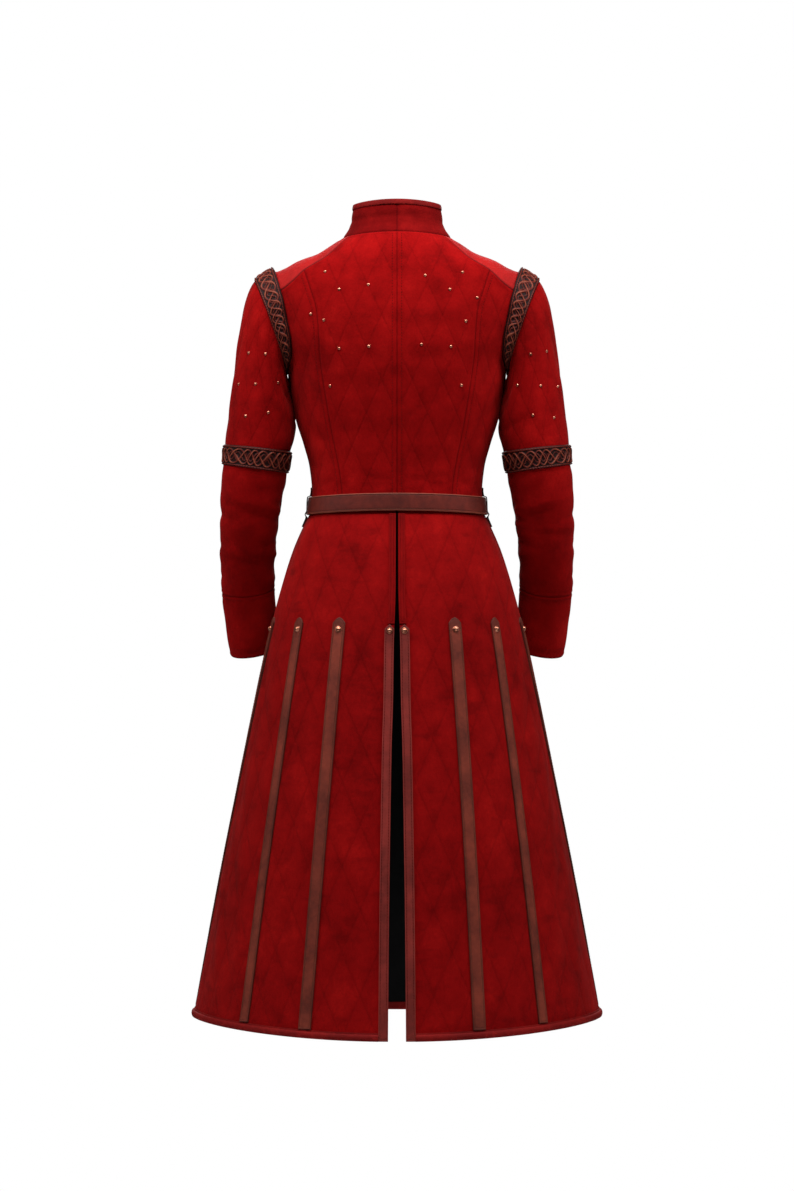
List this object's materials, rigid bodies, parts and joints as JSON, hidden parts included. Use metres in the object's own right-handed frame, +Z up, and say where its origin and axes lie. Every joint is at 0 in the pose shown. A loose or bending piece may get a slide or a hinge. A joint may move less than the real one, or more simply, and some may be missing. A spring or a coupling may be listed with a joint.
{
  "type": "gambeson",
  "caption": "Long quilted red suede coat with a standing collar, leather bands and straps, a belt and a flared skirt with a back vent, in its worn hollow form.",
  "frame": {"origin": "middle of the neck, level with the tops of the shoulders, where the wearer holds the garment up", "axes": "+Z up, +Y the way the wearer faces, -X the wearer's left"},
  "size_m": [0.6652, 0.5782, 1.3337],
  "materials": {
    "suede": "napped suede, quilted over batting, with a black lining",
    "yoke_leather": "smooth leather, satin",
    "band_leather": "embossed interlace, satin",
    "strap_leather": "smooth leather with worn edges",
    "trim_leather": "thin rolled and folded leather",
    "belt_leather": "firm leather, semi-gloss",
    "copper": "copper-coloured domed metal",
    "buckle_metal": "aged metal"
  },
  "bodies": {
    "root": {"back_left": "suede", "back_right": "suede", "side_back_left": "suede", "side_back_right": "suede", "front_left": "suede", "front_right": "suede", "upper_sleeve_left": "suede", "upper_sleeve_right": "suede", "lower_sleeve_left": "suede", "lower_sleeve_right": "suede", "cuff_left": "suede", "cuff_right": "suede", "skirt_back_left": "suede", "skirt_back_right": "suede", "skirt_front_left": "suede", "skirt_front_right": "suede", "collar": "suede", "yoke_left": "yoke_leather", "yoke_right": "yoke_leather", "armhole_band_left": "band_leather", "armhole_band_right": "band_leather", "elbow_band_left": "band_leather", "elbow_band_right": "band_leather", "hem_binding_back_left": "trim_leather", "hem_binding_back_right": "trim_leather", "hem_binding_front_left": "trim_leather", "hem_binding_front_right": "trim_leather", "vent_facing_left": "trim_leather", "vent_facing_right": "trim_leather", "vent_strip_left": "trim_leather", "vent_strip_right": "trim_leather", "collar_binding": "trim_leather", "strap_inner_left": "strap_leather", "strap_inner_right": "strap_leather", "strap_middle_left": "strap_leather", "strap_middle_right": "strap_leather", "strap_side_left": "strap_leather", "strap_side_right": "strap_leather", "belt": "belt_leather", "belt_keeper": "belt_leather", "belt_loop_left": "belt_leather", "belt_loop_right": "belt_leather", "rivet_inner_left": "copper", "rivet_inner_right": "copper", "rivet_middle_left": "copper", "rivet_middle_right": "copper", "rivet_side_left": "copper", "rivet_side_right": "copper", "rivet_vent_left": "copper", "rivet_vent_right": "copper", "button_1": "copper", "button_2": "copper", "button_3": "copper", "button_4": "copper", "button_5": "copper", "button_6": "copper", "button_7": "copper", "belt_buckle": "buckle_metal", "belt_prong": "buckle_metal"}
  },
  "joints": []
}
